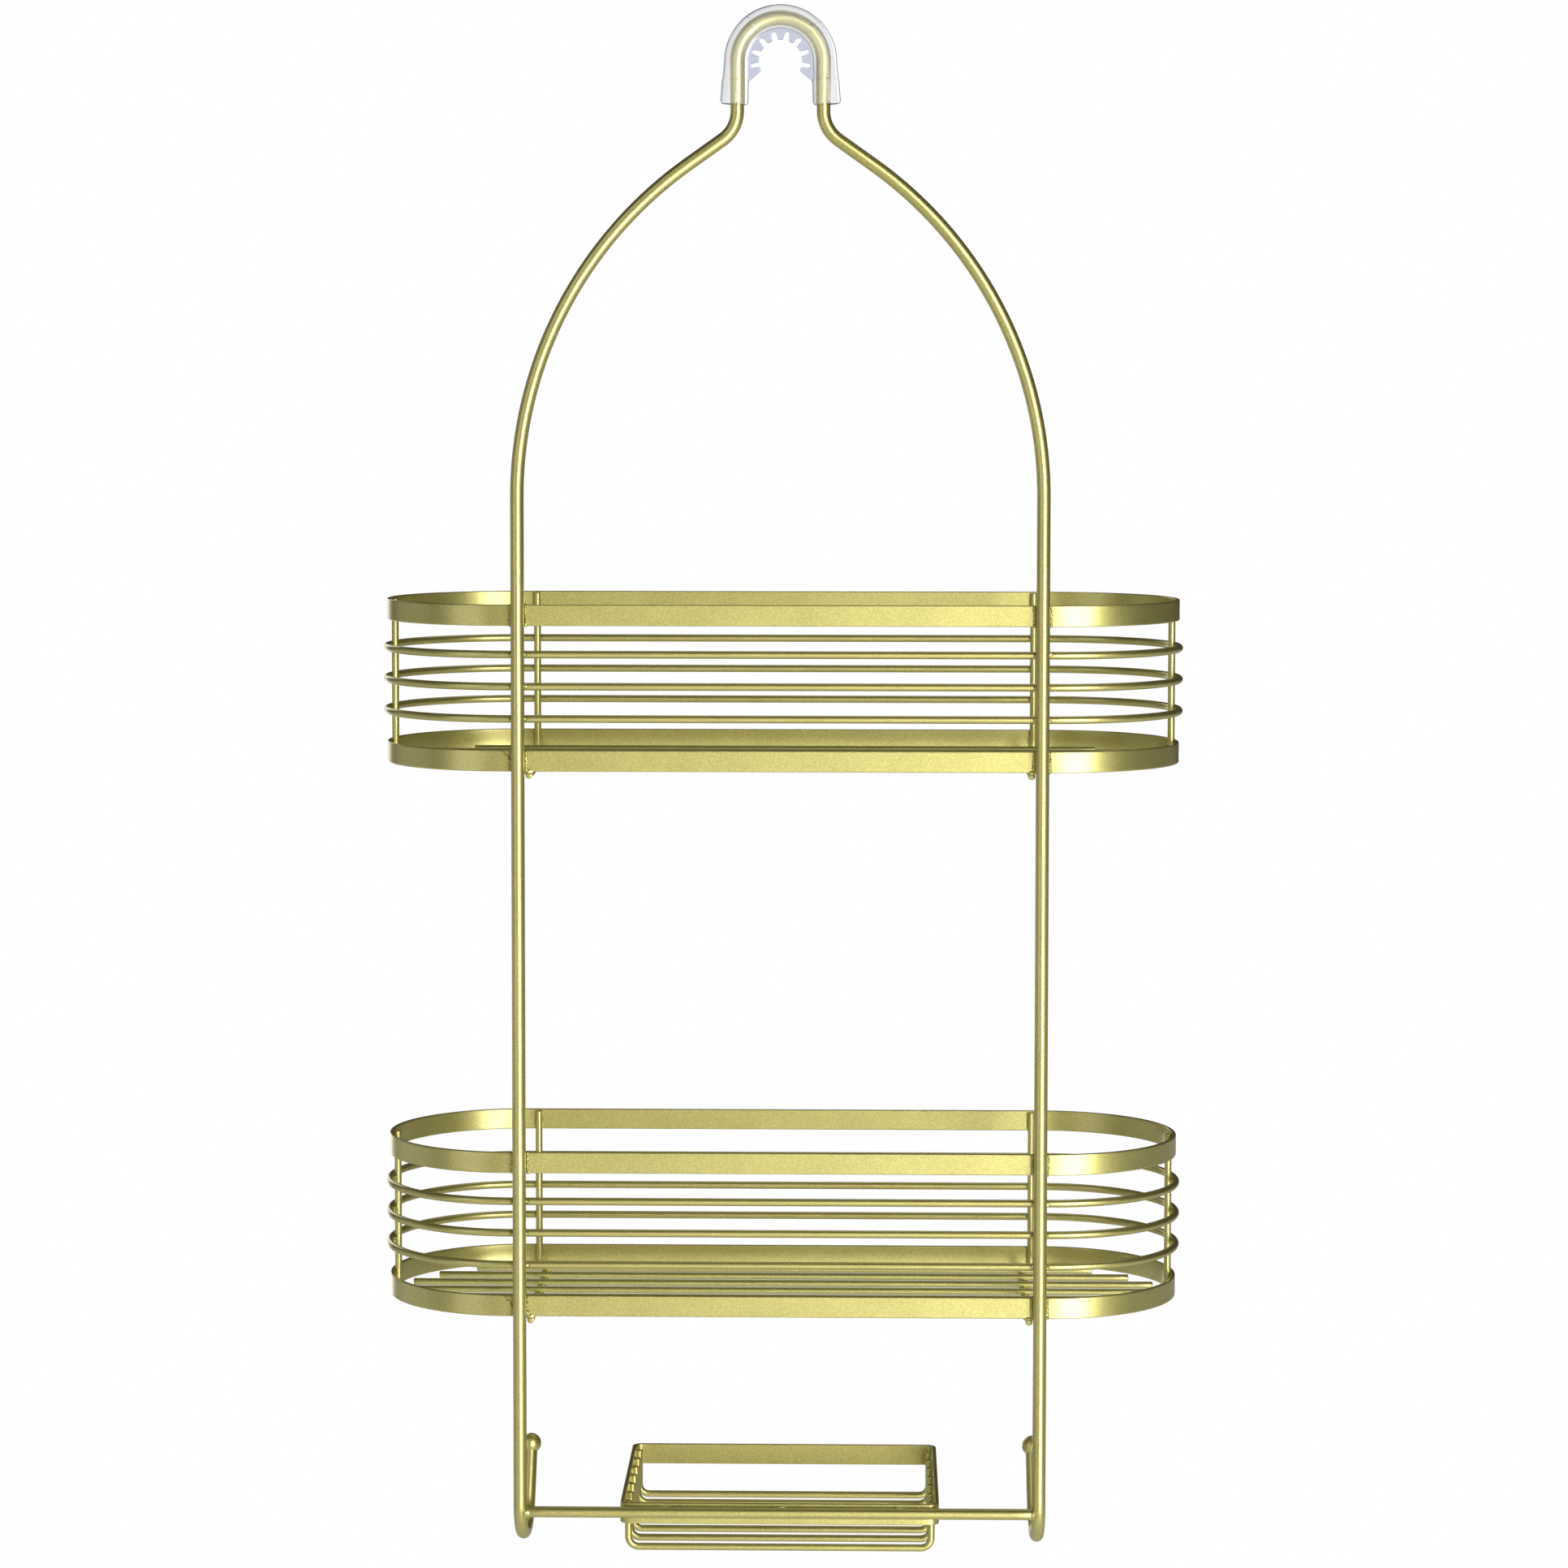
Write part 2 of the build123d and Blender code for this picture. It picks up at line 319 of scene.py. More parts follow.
def web_mask(tree, coordinates):
    """1 on the sleeve's inner web, 0 on its tube, from the distance to the arch's middle."""
    axes = tree.nodes.new("ShaderNodeSeparateXYZ")
    tree.links.new(coordinates, axes.inputs["Vector"])
    above = tree.nodes.new("ShaderNodeMath")
    above.operation = "MAXIMUM"
    above.inputs[1].default_value = 0.0
    tree.links.new(axes.outputs["Z"], above.inputs[0])
    flat = tree.nodes.new("ShaderNodeCombineXYZ")
    tree.links.new(axes.outputs["X"], flat.inputs["X"])
    tree.links.new(above.outputs["Value"], flat.inputs["Z"])
    reach = tree.nodes.new("ShaderNodeVectorMath")
    reach.operation = "LENGTH"
    tree.links.new(flat.outputs["Vector"], reach.inputs[0])
    mask = tree.nodes.new("ShaderNodeMapRange")
    mask.inputs["From Min"].default_value = TUBE_FROM_R
    mask.inputs["From Max"].default_value = WEB_FROM_R
    tree.links.new(reach.outputs["Value"], mask.inputs["Value"])
    return mask.outputs["Result"]


def blend(tree, factor, first, second):
    """A colour between two; either may be a fixed colour or another node's output."""
    node = tree.nodes.new("ShaderNodeMix")
    node.data_type = "RGBA"
    tree.links.new(factor, node.inputs["Factor"])
    for socket, colour in (("A", first), ("B", second)):
        if isinstance(colour, tuple):
            node.inputs[socket].default_value = (*colour, 1)
        else:
            tree.links.new(colour, node.inputs[socket])
    return node.outputs["Result"]


def clear_plastic():
    """Clear moulded vinyl: glossy tube painted paler than the cool web as a painted sheen, darkened
    with painted shade where it turns edge on.
    """
    material, tree, output = node_tree("clear_sleeve")
    links = tree.links
    coordinates = tree.nodes.new("ShaderNodeTexCoord").outputs["Object"]
    haze = add_noise(tree, coordinates, 220, 3)
    wave = add_noise(tree, coordinates, 90, 2)
    web = web_mask(tree, coordinates)

    # Painted sheen: the tube is painted paler than the web, in place of the highlights that it
    # reflects; the noise gives it an uneven tone.
    tube_sheen = add_ramp(tree, haze.outputs["Fac"], (
        (0.3, (0.90, 0.915, 0.945)),
        (0.7, (0.96, 0.965, 0.98)),
    ))
    face = blend(tree, web, tube_sheen.outputs["Color"], (0.62, 0.65, 0.76))
    # Painted shade: the colour goes almost black where the surface turns edge on, in place of the dark
    # surroundings that the edges refract and reflect.
    turn = tree.nodes.new("ShaderNodeLayerWeight")
    turn.inputs["Blend"].default_value = 0.5
    outline = tree.nodes.new("ShaderNodeMapRange")
    outline.interpolation_type = "SMOOTHSTEP"
    outline.inputs["From Min"].default_value = 0.30
    outline.inputs["From Max"].default_value = 0.85
    links.new(turn.outputs["Facing"], outline.inputs["Value"])
    colour = blend(tree, outline.outputs["Result"], face, (0.05, 0.065, 0.09))

    rough = tree.nodes.new("ShaderNodeMapRange")
    rough.inputs["To Min"].default_value = 0.04
    rough.inputs["To Max"].default_value = 0.12
    links.new(haze.outputs["Fac"], rough.inputs["Value"])
    bump = tree.nodes.new("ShaderNodeBump")
    bump.inputs["Strength"].default_value = 0.10
    bump.inputs["Distance"].default_value = 0.0003
    links.new(wave.outputs["Fac"], bump.inputs["Height"])

    shader = tree.nodes.new("ShaderNodeBsdfPrincipled")
    shader.inputs["Transmission Weight"].default_value = 0.80
    shader.inputs["IOR"].default_value = 1.12
    shader.inputs["Coat Weight"].default_value = 0.8
    shader.inputs["Coat Roughness"].default_value = 0.10
    links.new(colour, shader.inputs["Base Color"])
    links.new(rough.outputs["Result"], shader.inputs["Roughness"])
    links.new(bump.outputs["Normal"], shader.inputs["Normal"])
    links.new(shader.outputs["BSDF"], output.inputs["Surface"])
    return material


GOLD = gold_paint()
CLEAR = clear_plastic()


# ------------------------------------------------------------------ frame wire
def foot_hook_point(side, angle):
    out = FOOT_HOOK_R * (1 - math.cos(angle))
    return Vector((side * (LEG_X - out * math.sin(FOOT_HOOK_TOE)),
                   out * math.cos(FOOT_HOOK_TOE),
                   LEG_END_Z - FOOT_HOOK_R * math.sin(angle)))


def half_frame(side):
    """The frame wire's centreline from the arch's side down to the foot hook's ball."""
    forward = Vector((0, 1, 0))
    bend_centre = Vector((side * (ARCH_RADIUS + NECK_BEND_R), 0, NECK_END_Z))
    shoulder_x = LEG_X - SHOULDER_R

    points = [Vector((side * ARCH_RADIUS, 0, 0))]
    points += line(points[-1], Vector((side * ARCH_RADIUS, 0, NECK_END_Z)), 8)
    points += arc(bend_centre, points[-1], forward, -side * SHOULDER_ANGLE, 20)
    bend_end = points[-1]
    arc_start_x = shoulder_x + SHOULDER_R * math.cos(SHOULDER_ANGLE)
    run = (arc_start_x - abs(bend_end.x)) / math.sin(SHOULDER_ANGLE)
    direction = Vector((side * math.sin(SHOULDER_ANGLE), 0, -math.cos(SHOULDER_ANGLE)))
    points += line(bend_end, bend_end + direction * run, 8)
    shoulder_z = points[-1].z - SHOULDER_R * math.sin(SHOULDER_ANGLE)
    points += arc(Vector((side * shoulder_x, 0, shoulder_z)), points[-1], forward,
                  side * SHOULDER_ANGLE, 60)
    points += line(points[-1], Vector((side * LEG_X, 0, LEG_END_Z)), 120)
    turn = math.pi - FOOT_HOOK_LEAN
    points += [foot_hook_point(side, turn * k / 48) for k in range(1, 49)]
    ball = middle("hook_ball_" + ("left" if side < 0 else "right"))
    points += line(points[-1], ball, 10)
    return points


def frame_wire():
    over = [Vector((-ARCH_RADIUS * math.cos(math.pi * k / 48), 0,
                    ARCH_RADIUS * math.sin(math.pi * k / 48))) for k in range(1, 48)]
    points = half_frame(-1)[::-1] + over + half_frame(1)
    return wire("frame_wire_bent", points, FRAME_R, GOLD, "frame_wire", around=32)


def hook_ball(side_name, side):
    """The ball that ends a foot hook's stem, about the middle of its CAD node."""
    centre = middle("hook_ball_" + side_name)
    radius = size("hook_ball_" + side_name).x / 2
    mesh = bpy.data.meshes.new("hook_ball_end_" + side_name)
    bm = bmesh.new()
    bmesh.ops.create_uvsphere(bm, u_segments=40, v_segments=24, radius=radius)
    bmesh.ops.translate(bm, verts=bm.verts, vec=centre)
    bm.to_mesh(mesh)
    bm.free()
    obj = make_object(mesh.name, mesh)
    return finish_piece(obj, GOLD, "gold_paint", "hook_ball_" + side_name)


# ------------------------------------------------------------------ hook sleeve
SLEEVE_R = 4.95 * MM
SLEEVE_ARCH_R = 16.85 * MM
SLEEVE_BORE_R = 2.57 * MM
SLEEVE_END_Z = low("hook_sleeve").z
COLLAR_R = 5.45 * MM
COLLAR_X = 17.65 * MM
COLLAR_TOP_Z = -7 * MM
COLLAR_STEP = 0.28 * MM
COLLAR_LIP = 1.2 * MM
WEB_HALF = 1.5 * MM
WEB_OUTER_R = 14 * MM
WEDGE_TIP = Vector((7.4 * MM, -3.6 * MM))
WEDGE_FOOT = Vector((11.9 * MM, -7.4 * MM))
TOOTH_TIP_R = RECORD["mounts"][0]["dims"]["r_mm"] * MM
NOTCH_END_R = 11.6 * MM
NOTCH_HALF = 0.95 * MM
NOTCH_MOUTH = 1.12
NOTCH_COUNT = 8
NOTCH_PITCH = math.radians(28.3)
GATE_MARK_R = 0.24 * MM
GATE_MARK_ANGLES = (48, 130)
GATE_MARK_LEAN = math.radians(24)
VOXEL_MM = 0.2
SMOOTH_ROUNDS = 10


def arch_path(radius, low_z, steps=64):
    """An upside-down U in the frame's plane."""
    left = Vector((-radius, 0, low_z))
    points = [left] + line(left, Vector((-radius, 0, 0)), 8)
    points += [Vector((-radius * math.cos(math.pi * k / steps), 0,
                       radius * math.sin(math.pi * k / steps))) for k in range(1, steps + 1)]
    points += line(points[-1], Vector((radius, 0, low_z)), 8)
    return points


def add_tube(bm, points, radius, around=40):
    sweep_rings(bm, points, False, lambda i: circle_outline(radius, around))


def web_outline():
    """The toothed edge of the web, from the right wedge over the top to the left one."""
    points = [Vector((WEB_OUTER_R, WEDGE_FOOT.y)), WEDGE_FOOT, WEDGE_TIP]
    first = math.pi / 2 - NOTCH_PITCH * (NOTCH_COUNT - 1) / 2
    for number in range(NOTCH_COUNT):
        angle = first + number * NOTCH_PITCH
        out = Vector((math.cos(angle), math.sin(angle)))
        across = Vector((-out.y, out.x))
        points.append(out * TOOTH_TIP_R - across * NOTCH_HALF * NOTCH_MOUTH)
        for step in range(9):
            turn = -math.pi / 2 + math.pi * step / 8
            points.append(out * (NOTCH_END_R - NOTCH_HALF + NOTCH_HALF * math.cos(turn))
                          + across * NOTCH_HALF * math.sin(turn))
        points.append(out * TOOTH_TIP_R + across * NOTCH_HALF * NOTCH_MOUTH)
    points += [Vector((-WEDGE_TIP.x, WEDGE_TIP.y)), Vector((-WEDGE_FOOT.x, WEDGE_FOOT.y)),
               Vector((-WEB_OUTER_R, WEDGE_FOOT.y))]
    points += [WEB_OUTER_R * Vector((-math.cos(math.pi * k / 32), math.sin(math.pi * k / 32)))
               for k in range(33)]
    return points


def add_web(bm):
    outline = web_outline()
    front = [bm.verts.new((p.x, -WEB_HALF, p.y)) for p in outline]
    back = [bm.verts.new((p.x, WEB_HALF, p.y)) for p in outline]
    faces = [bm.faces.new(front), bm.faces.new(back[::-1])]
    count = len(outline)
    for k in range(count):
        bm.faces.new((front[k], back[k], back[(k + 1) % count], front[(k + 1) % count]))
    bmesh.ops.triangulate(bm, faces=faces)


def solid_object(name, bm):
    """A solid for mesh surgery, enlarged from metres to millimetres so that it stays exact."""
    mesh = bpy.data.meshes.new(name)
    bmesh.ops.scale(bm, vec=(1 / MM, 1 / MM, 1 / MM), verts=bm.verts)
    bmesh.ops.recalc_face_normals(bm, faces=bm.faces)
    bm.to_mesh(mesh)
    bm.free()
    return make_object(name, mesh)


def apply_modifiers(obj):
    bpy.context.view_layer.update()
    graph = bpy.context.evaluated_depsgraph_get()
    mesh = bpy.data.meshes.new_from_object(obj.evaluated_get(graph))
    obj.modifiers.clear()
    obj.data = mesh


def sleeve_run():
    """Centreline points and radii of the sleeve: legs splay, with a collar at each end."""
    side = []
    steps = 44
    for k in range(steps + 1):
        z = SLEEVE_END_Z * (1 - k / steps)
        splay = z / SLEEVE_END_Z
        radius = SLEEVE_R + (COLLAR_R - SLEEVE_R) * splay
        if z > COLLAR_TOP_Z:
            radius -= COLLAR_STEP
        lip = max(0, COLLAR_LIP - (z - SLEEVE_END_Z))
        radius -= lip * lip / (2 * COLLAR_LIP)
        side.append((Vector((SLEEVE_ARCH_R + (COLLAR_X - SLEEVE_ARCH_R) * splay, 0, z)), radius))
    left = [(Vector((-p.x, 0, p.z)), r) for p, r in side]
    over = []
    for k in range(1, 64):
        angle = math.pi * (1 - k / 64)
        point = SLEEVE_ARCH_R * Vector((math.cos(angle), 0, math.sin(angle)))
        over.append((point, SLEEVE_R - COLLAR_STEP))
    return left + over + side[::-1]


def add_gate_mark(bm, angle):
    """A thin moulding ridge that runs over the outside of the sleeve at one angle."""
    out = Vector((math.cos(angle), 0, math.sin(angle)))
    lean = Matrix.Rotation(GATE_MARK_LEAN, 3, Vector((0, 1, 0))) @ out
    centre = out * SLEEVE_ARCH_R
    points = [centre + SLEEVE_R * (lean * math.cos(t) + Vector((0, 1, 0)) * math.sin(t))
              for t in (math.radians(-100 + 10 * k) for k in range(21))]
    add_tube(bm, points, GATE_MARK_R, 10)


def hook_sleeve():
    """Clear sleeve: tube, end collars and toothed web melted together, then bored."""
    bm = bmesh.new()
    run = sleeve_run()
    sweep_rings(bm, [p for p, _ in run], False, lambda i: circle_outline(run[i][1], 40))
    add_web(bm)
    for degrees in GATE_MARK_ANGLES:
        add_gate_mark(bm, math.radians(degrees))
    sleeve = solid_object("hook_sleeve_clear", bm)
    soften = sleeve.modifiers.new("soften", "REMESH")
    soften.mode = "VOXEL"
    soften.voxel_size = VOXEL_MM
    smooth = sleeve.modifiers.new("smooth", "SMOOTH")
    smooth.factor = 0.5
    smooth.iterations = SMOOTH_ROUNDS
    apply_modifiers(sleeve)

    bm = bmesh.new()
    add_tube(bm, arch_path(ARCH_RADIUS, NECK_END_Z), SLEEVE_BORE_R)
    bore = solid_object("bore", bm)
    cut = sleeve.modifiers.new("cut", "BOOLEAN")
    cut.operation = "DIFFERENCE"
    cut.solver = "EXACT"
    cut.object = bore
    apply_modifiers(sleeve)
    bpy.data.objects.remove(bore)
    sleeve.data.transform(Matrix.Scale(MM, 4))
    return finish_piece(sleeve, CLEAR, "clear_sleeve", "hook_sleeve")


# ------------------------------------------------------------------ baskets
WIRE_STEP = 6 * MM


def basket_oval(node, inset, z):
    """An oval that lies inset from the outside of a basket's hoop node."""
    half = size(node).x / 2 - inset
    radius = size(node).y / 2 - inset
    return oval(half, radius, middle(node).y, z)


def straight(name, node, radius, along):
    """A straight cut wire along axis 0, 1 or 2 of its CAD node's box."""
    start = middle(node)
    end = middle(node)
    start[along] = low(node)[along]
    end[along] = high(node)[along]
    steps = max(4, int((end - start).length / WIRE_STEP))
    return wire(name, [start] + line(start, end, steps), radius, GOLD, node)


def basket(level):
    for hoop in ("top", "bottom"):
        node = level + "_" + hoop + "_band"
        path = basket_oval(node, BAND_THICK / 2, middle(node).z)
        strip(node + "_strip", path, BAND_THICK, size(node).z, BAND_EDGE, GOLD, node)
    for number in (1, 2, 3):
        node = level + "_ring_%d" % number
        path = basket_oval(node, RING_R, middle(node).z)
        wire(node + "_wire", path, RING_R, GOLD, node, closed=True)
    for side_name, _ in SIDES:
        for kind in ("end_upright", "outer_upright"):
            node = level + "_" + kind + "_" + side_name
            straight(node + "_wire", node, WIRE_R, 2)
        node = level + "_cross_wire_" + side_name
        straight(node + "_rod", node, WIRE_R, 1)
    for number in range(1, 7):
        node = level + "_floor_wire_%d" % number
        straight(node + "_rod", node, WIRE_R, 0)


# ------------------------------------------------------------------ crossbar and soap dish
DISH_CORNER_R = 4 * MM
DISH_WIRE_BEND_R = 4 * MM


def crossbar():
    return straight("crossbar_rod", "crossbar", CROSSBAR_R, 0)


def dish_band():
    node = "soap_dish_band"
    corner = DISH_CORNER_R - BAND_THICK / 2
    half = size(node) / 2 - Vector((BAND_THICK / 2, BAND_THICK / 2, 0))
    centre = middle(node)
    up = Vector((0, 0, 1))
    spots = ((1, -1), (1, 1), (-1, 1), (-1, -1))
    points = []
    for turn, (sx, sy) in enumerate(spots):
        pivot = centre + Vector((sx * (half.x - corner), sy * (half.y - corner), 0))
        start = pivot + corner * Vector((0, sy, 0) if sx * sy < 0 else (sx, 0, 0))
        if points:
            points += line(points[-1], start, 24)
        else:
            points.append(start)
        points += arc(pivot, start, up, math.pi / 2, 12)
    points += line(points[-1], points[0], 24)[:-1]
    return strip("soap_dish_band_strip", points, BAND_THICK, size(node).z, BAND_EDGE, GOLD, node)


def dish_wire(number):
    node = "soap_dish_wire_%d" % number
    bend = DISH_WIRE_BEND_R
    y = middle(node).y
    side_x = high(node).x - WIRE_R
    top = high(node).z
    bottom = low(node).z + WIRE_R
    back = Vector((0, 1, 0))
    points = [Vector((-side_x, y, top))]
    points += line(points[-1], Vector((-side_x, y, bottom + bend)), 4)
    points += arc(Vector((-side_x + bend, y, bottom + bend)), points[-1], back, -math.pi / 2, 10)
    points += line(points[-1], Vector((side_x - bend, y, bottom)), 24)
    points += arc(Vector((side_x - bend, y, bottom + bend)), points[-1], back, -math.pi / 2, 10)
    points += line(points[-1], Vector((side_x, y, top)), 4)
    return wire(node + "_bent", points, WIRE_R, GOLD, node)


# ------------------------------------------------------------------ weld metal
BEAD_LUMPS = 0.22
FILLET_HALF = (0.65 * MM, 0.75 * MM, 0.85 * MM)
SLANT_FILLET_HALF = (0.5 * MM, 0.6 * MM, 0.6 * MM)
FILLET_OUT = 0.35 * MM
DISH_BAND_WELD_X = (-46 * MM, 0 * MM, 46 * MM)


def bead(bm, centre, half, seed):
    """One lump of weld metal: a squashed ball with an uneven skin."""
    made = bmesh.ops.create_icosphere(bm, subdivisions=3, radius=1.0)
    for vertex in made["verts"]:
        rough = noise.noise(vertex.co * 1.7 + Vector((seed * 3.1, seed, -seed)))
        grow = 1 + BEAD_LUMPS * rough
        vertex.co = centre + Vector((vertex.co.x * half[0] * grow, vertex.co.y * half[1] * grow,
                                     vertex.co.z * half[2] * grow))


def beads(name, places, *nodes):
    bm = bmesh.new()
    for number, (centre, half) in enumerate(places):
        bead(bm, centre, half, number + 0.37)
    mesh = bpy.data.meshes.new(name)
    bm.to_mesh(mesh)
    bm.free()
    return finish_piece(make_object(name, mesh), GOLD, "gold_paint", *nodes)


def jitter(amount):
    return 1 + random.uniform(-amount, amount)


def chain(start, end, half, count):
    """Overlapping uneven lumps in a row, as a hand weld is laid."""
    places = []
    for k in range(count):
        wander = Vector((random.uniform(-1, 1), 0, random.uniform(-1, 1))) * half[0] * 0.3
        places.append((start.lerp(end, k / (count - 1)) + wander,
                       tuple(length * jitter(0.3) for length in half)))
    return places


def leg_welds(level, place):
    """Two ragged fillets down each leg where a flat hoop meets it.

    At the bottom hoop's left leg, the outer fillet is a slanting one instead.
    """
    node = level + "_" + place + "_band"
    y = low(node).y - 0.2 * MM
    top = high(node).z
    bottom = low(node).z
    spots = []
    for _, side in SIDES:
        for edge in (-1, 1):
            x = side * LEG_X + edge * (FRAME_R + FILLET_OUT)
            if place == "bottom" and side < 0 and edge < 0:
                start = Vector((x - 2.9 * MM, y, top - 0.8 * MM))
                end = Vector((x, y, top - 4.4 * MM))
                spots += chain(start, end, SLANT_FILLET_HALF, 8)
            else:
                spots += chain(Vector((x, y, top - 0.6 * MM)), Vector((x, y, bottom + 0.6 * MM)),
                               FILLET_HALF, 9)
    return spots


def basket_welds(level):
    """Weld metal on one basket: at the legs, under the floor and on the uprights."""
    top = level + "_top_band"
    bottom = level + "_bottom_band"
    for place in ("top", "bottom"):
        beads(level + "_" + place + "_leg_welds", leg_welds(level, place),
              level + "_" + place + "_band_welds")

    spots = []
    for number in (1, 2, 3):
        ring = level + "_ring_%d" % number
        for _, side in SIDES:
            for edge in (-1, 1):
                spot = Vector((side * LEG_X + edge * FRAME_R, low(ring).y + 0.2 * MM,
                               middle(ring).z + random.uniform(-0.5, 0.5) * MM))
                spots.append((spot, (1.1 * MM * jitter(0.3), 0.9 * MM, 0.9 * MM * jitter(0.2))))
    beads(level + "_ring_leg_welds", spots)

    spots = []
    for side_name, _ in SIDES:
        cross = level + "_cross_wire_" + side_name
        for number in range(1, 7):
            floor = middle(level + "_floor_wire_%d" % number)
            spot = Vector((middle(cross).x, floor.y, (floor.z + middle(cross).z) / 2))
            spots.append((spot, (2.0 * MM * jitter(0.15), 2.0 * MM * jitter(0.15), 0.9 * MM)))
        for y in (low(bottom).y + BAND_THICK / 2, high(bottom).y - BAND_THICK / 2):
            spot = Vector((middle(cross).x, y, low(bottom).z))
            spots.append((spot, (2.0 * MM * jitter(0.2), 1.2 * MM, 1.1 * MM * jitter(0.2))))
    beads(level + "_floor_welds", spots)

    spots = []
    hoops = [top, bottom] + [level + "_ring_%d" % number for number in (1, 2, 3)]
    for hoop in hoops:
        tall = 2.4 * MM if hoop in (top, bottom) else 1.0 * MM
        for side_name, side in SIDES:
            post = middle(level + "_end_upright_" + side_name)
            spot = Vector((post.x + side * WIRE_R, post.y, middle(hoop).z))
            spots.append((spot, (0.8 * MM, 1.7 * MM * jitter(0.2), tall)))
            post = middle(level + "_outer_upright_" + side_name)
            spot = Vector((post.x, post.y + WIRE_R, middle(hoop).z))
            spots.append((spot, (1.7 * MM * jitter(0.2), 0.8 * MM, tall)))
    beads(level + "_upright_welds", spots)


def dish_welds():
    band = "soap_dish_band"
    spots = []
    for number in range(1, 8):
        node = "soap_dish_wire_%d" % number
        for _, side in SIDES:
            spot = Vector((side * (high(node).x - 0.1 * MM), middle(node).y,
                           middle(band).z + 1.2 * MM))
            spots.append((spot, (0.7 * MM, 1.7 * MM * jitter(0.2), 2.6 * MM)))
    beads("soap_dish_wire_welds", spots)

    bar = "crossbar"
    spots = []
    for side, half in ((-1, 2.1 * MM), (1, 1.5 * MM)):
        spot = Vector((side * (LEG_X - FRAME_R + 0.2 * MM), middle(bar).y, middle(bar).z))
        spots.append((spot, (half, 2.5 * MM, 2.6 * MM)))
    for x in DISH_BAND_WELD_X:
        spot = Vector((x, high(bar).y, middle(bar).z + 1.4 * MM))
        spots.append((spot, (2.6 * MM, 0.9 * MM, 1.0 * MM)))
    beads("crossbar_welds", spots)


frame_wire()
for side_name, side in SIDES:
    hook_ball(side_name, side)
hook_sleeve()
for level in LEVELS:
    basket(level)
    basket_welds(level)
crossbar()
dish_band()
for number in range(1, 8):
    dish_wire(number)
dish_welds()


# ------------------------------------------------------------------ camera
def make_camera():
    data = bpy.data.cameras.new("camera")
    data.sensor_width = 36
    data.lens = 104.62
    data.shift_y = -0.06
    data.clip_end = 100
    camera = bpy.data.objects.new("camera", data)
    camera.location = (0.03631, -1.7461, -0.1103)
    camera.rotation_euler = (math.radians(85.758), math.radians(-0.051), math.radians(1.143))
    bpy.context.scene.collection.objects.link(camera)
    bpy.context.scene.camera = camera


# ------------------------------------------------------------------ studio
FLOOR_Z = -1.95
FLOOR_HALF = 14
FLOOR_GLOW = 0.34
ROOM_GLOW = 0.045
LIGHT_AIM = Vector((0, 0.04, -0.28))


def white_to_the_eye(tree, unseen, output, through=None):
    """White to camera and refracted rays, the unseen shader to all others.

    through is an optional strength for the white that refracted rays get.
    """
    rays = tree.nodes.new("ShaderNodeLightPath")
    for ray in ("Is Transmission Ray", "Is Camera Ray"):
        white = tree.nodes.new("ShaderNodeEmission")
        white.inputs["Color"].default_value = (1, 1, 1, 1)
        white.inputs["Strength"].default_value = 1.0
        if through and ray == "Is Transmission Ray":
            tree.links.new(through, white.inputs["Strength"])
        mix = tree.nodes.new("ShaderNodeMixShader")
        tree.links.new(rays.outputs[ray], mix.inputs["Fac"])
        tree.links.new(unseen, mix.inputs[1])
        tree.links.new(white.outputs["Emission"], mix.inputs[2])
        unseen = mix.outputs["Shader"]
    tree.links.new(unseen, output.inputs["Surface"])


def make_floor():
    mesh = bpy.data.meshes.new("floor")
    bm = bmesh.new()
    bmesh.ops.create_grid(bm, x_segments=4, y_segments=4, size=FLOOR_HALF)
    bmesh.ops.translate(bm, verts=bm.verts, vec=(0, 0, FLOOR_Z))
    bm.to_mesh(mesh)
    bm.free()
    floor = make_object("floor", mesh)
    material, tree, output = node_tree("pale_floor")
    diffuse = tree.nodes.new("ShaderNodeBsdfDiffuse")
    diffuse.inputs["Color"].default_value = (0.6, 0.6, 0.6, 1)
    bounce = tree.nodes.new("ShaderNodeEmission")
    bounce.inputs["Color"].default_value = (1, 1, 0.98, 1)
    bounce.inputs["Strength"].default_value = FLOOR_GLOW
    both = tree.nodes.new("ShaderNodeAddShader")
    tree.links.new(diffuse.outputs["BSDF"], both.inputs[0])
    tree.links.new(bounce.outputs["Emission"], both.inputs[1])
    white_to_the_eye(tree, both.outputs["Shader"], output)
    floor.data.materials.append(material)


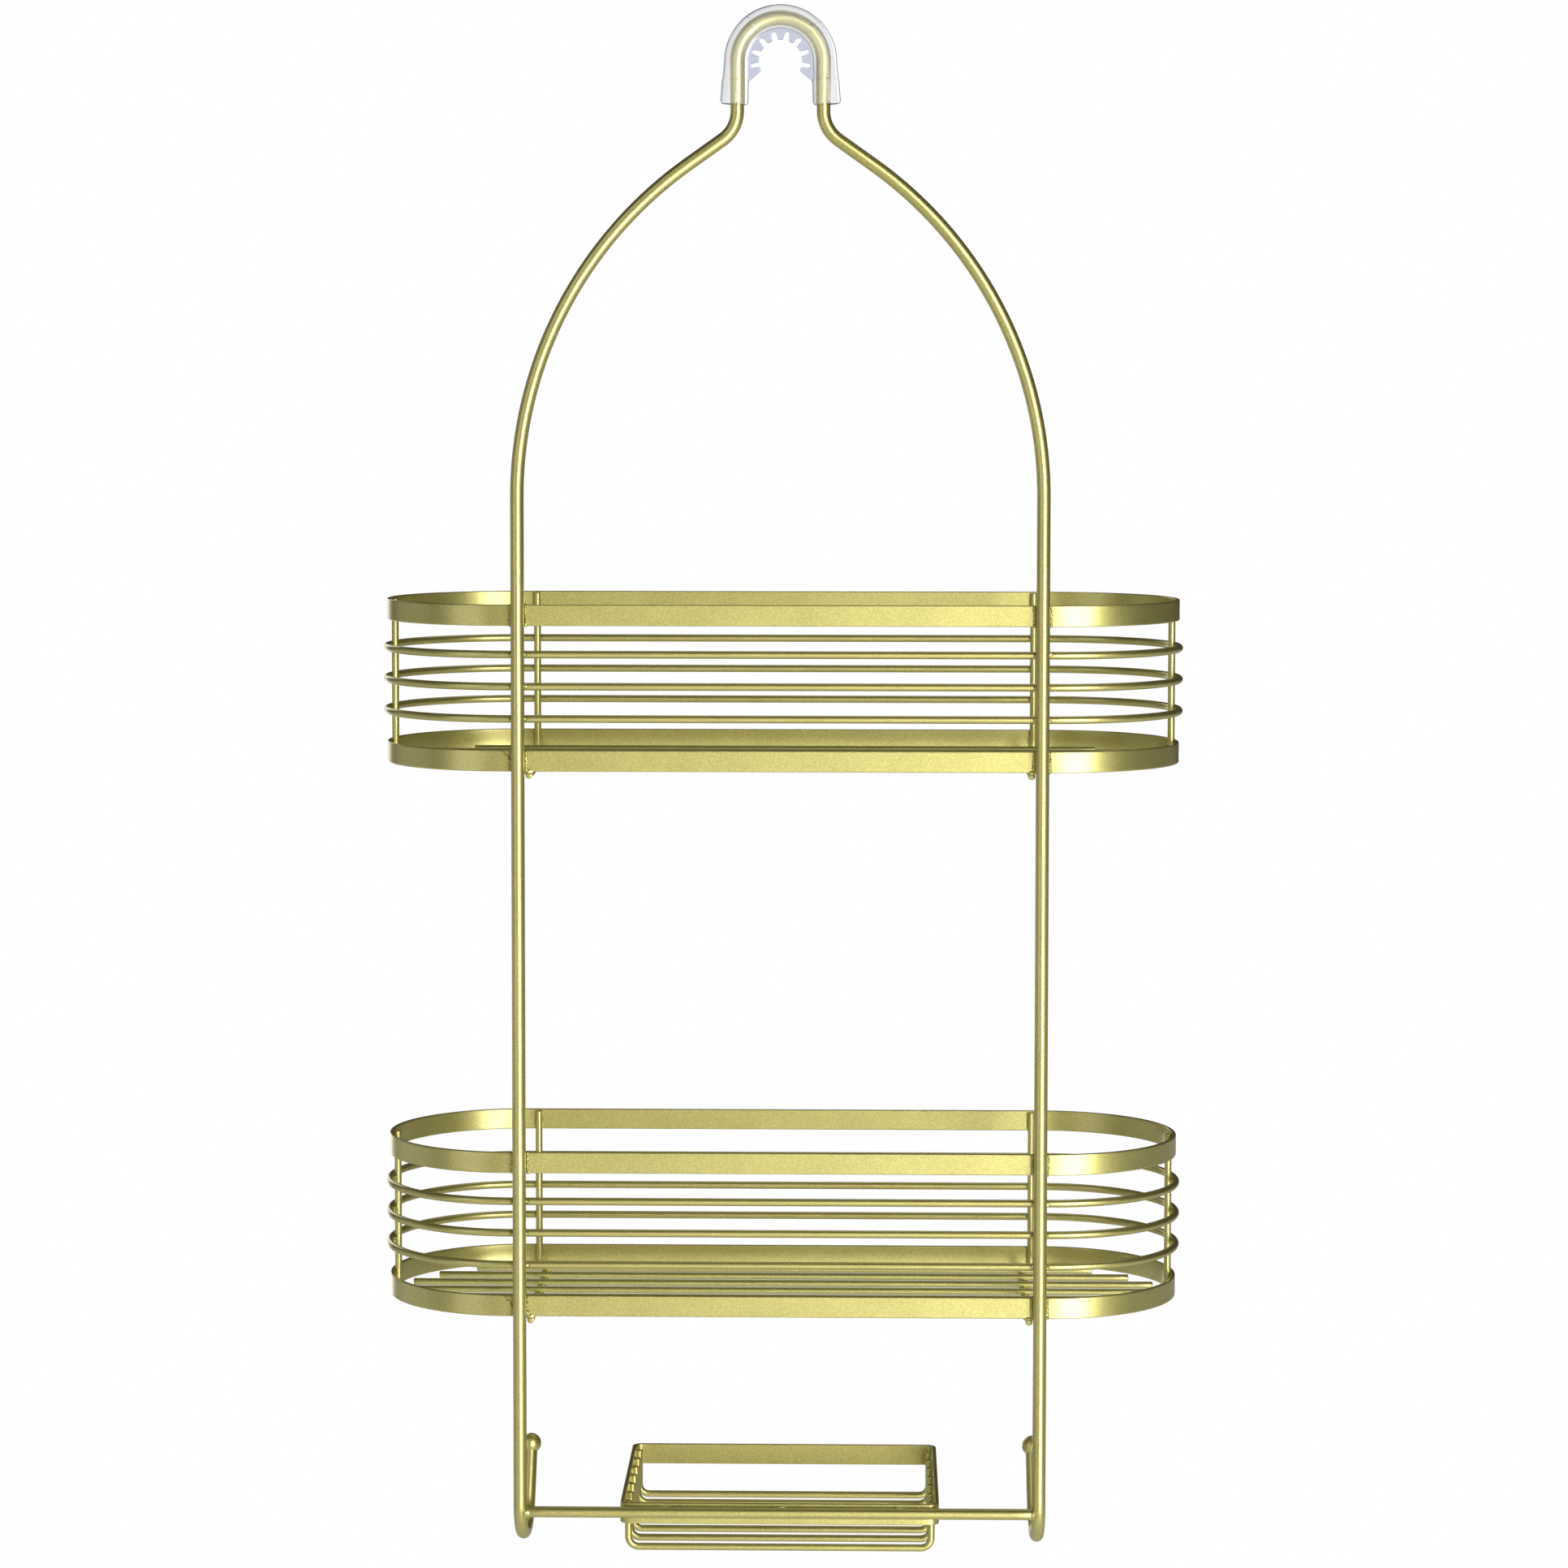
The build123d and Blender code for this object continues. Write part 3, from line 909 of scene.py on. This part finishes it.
def make_world():
    """White to the eye and a dim even room to what the paint reflects.

    Rays that the plastic refracts see white to the front and back, and grey to the sides.
    """
    world = bpy.data.worlds.new("studio")
    bpy.context.scene.world = world
    world.use_nodes = True
    tree = world.node_tree
    tree.nodes.clear()
    output = tree.nodes.new("ShaderNodeOutputWorld")
    room = tree.nodes.new("ShaderNodeEmission")
    room.inputs["Color"].default_value = (1, 1, 1, 1)
    room.inputs["Strength"].default_value = ROOM_GLOW

    direction = tree.nodes.new("ShaderNodeTexCoord")
    axes = tree.nodes.new("ShaderNodeSeparateXYZ")
    tree.links.new(direction.outputs["Generated"], axes.inputs["Vector"])
    depth = tree.nodes.new("ShaderNodeMath")
    depth.operation = "ABSOLUTE"
    tree.links.new(axes.outputs["Y"], depth.inputs[0])
    panel = tree.nodes.new("ShaderNodeMapRange")
    panel.inputs["From Min"].default_value = 0.55
    panel.inputs["From Max"].default_value = 0.97
    panel.inputs["To Min"].default_value = 0.10
    panel.inputs["To Max"].default_value = 1.0
    tree.links.new(depth.outputs["Value"], panel.inputs["Value"])
    white_to_the_eye(tree, room.outputs["Emission"], output, panel.outputs["Result"])


def soft_box(name, azimuth, elevation, distance, width, height, power):
    """An area light aimed at the object. Azimuth 0 is the camera's side, + to the right."""
    data = bpy.data.lights.new(name, "AREA")
    data.shape = "RECTANGLE"
    data.size = width
    data.size_y = height
    data.energy = power
    turn = math.radians(azimuth)
    lift = math.radians(elevation)
    away = Vector((math.sin(turn) * math.cos(lift), -math.cos(turn) * math.cos(lift),
                   math.sin(lift)))
    light = bpy.data.objects.new(name, data)
    light.location = LIGHT_AIM + away * distance
    light.rotation_euler = away.to_track_quat("Z", "Y").to_euler()
    bpy.context.scene.collection.objects.link(light)


make_camera()
make_floor()
make_world()
soft_box("key_right", 24, 0, 3.0, 1.5, 3.2, 96)
soft_box("fill_left", -42, 14, 2.8, 1.6, 3.4, 15)
soft_box("side_left", -104, 4, 2.8, 2.4, 2.4, 5)
soft_box("back", 165, 58, 2.8, 1.6, 1.6, 7)
soft_box("rear", 205, 4, 3.0, 0.9, 2.4, 12)
bpy.context.scene.view_settings.view_transform = "Standard"
